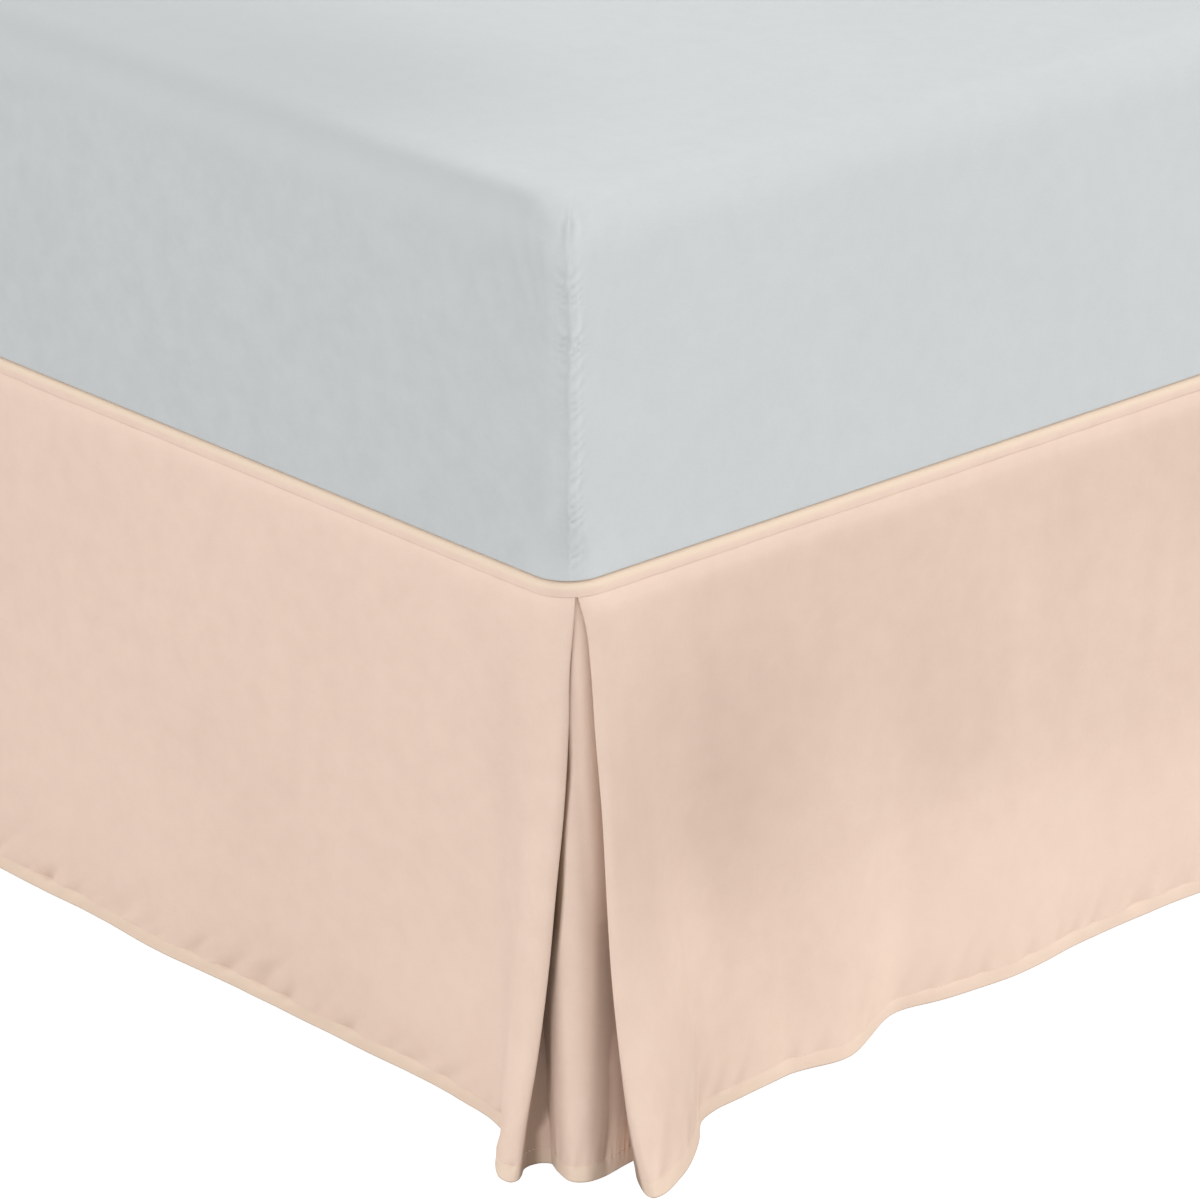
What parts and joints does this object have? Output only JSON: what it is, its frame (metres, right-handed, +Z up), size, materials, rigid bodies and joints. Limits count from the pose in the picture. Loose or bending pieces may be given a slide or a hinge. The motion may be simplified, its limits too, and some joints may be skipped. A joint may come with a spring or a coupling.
{
  "type": "bed skirt on a bed with box spring and mattress",
  "caption": "Tailored bed skirt with a flat deck, straight drops and inverted corner pleats, hanging on a plain bed with a box spring, mattress and steel frame.",
  "frame": {"origin": "on the floor, at the middle of the centre leg's flat glide, under the middle of the bed", "axes": "+Z up, +Y along the bed towards its head, +X to the right seen from the foot looking at the head"},
  "size_m": [1.679, 2.0865, 0.6175],
  "materials": {
    "skirt_cloth": "matt brushed microfibre in pale peach beige",
    "sheet_cloth": "matt smooth sheeting in pale blue grey",
    "ticking": "off-white woven ticking",
    "steel": "satin black powder coat",
    "glide_plastic": "matt black moulded plastic"
  },
  "bodies": {
    "root": {"deck": "skirt_cloth", "drop_foot": "skirt_cloth", "drop_side_right": "skirt_cloth", "drop_side_left": "skirt_cloth", "pleat_insert_right": "skirt_cloth", "pleat_insert_left": "skirt_cloth", "mattress": "sheet_cloth", "foundation": "ticking", "side_rail_right": "steel", "side_rail_left": "steel", "cross_rail_foot": "steel", "cross_rail_middle": "steel", "cross_rail_head": "steel", "leg_centre": "steel", "leg_foot_right": "steel", "leg_foot_left": "steel", "leg_middle_right": "steel", "leg_middle_left": "steel", "leg_head_right": "steel", "leg_head_left": "steel", "glide_centre": "glide_plastic", "glide_foot_right": "glide_plastic", "glide_foot_left": "glide_plastic", "glide_middle_right": "glide_plastic", "glide_middle_left": "glide_plastic", "glide_head_right": "glide_plastic", "glide_head_left": "glide_plastic"}
  },
  "joints": []
}
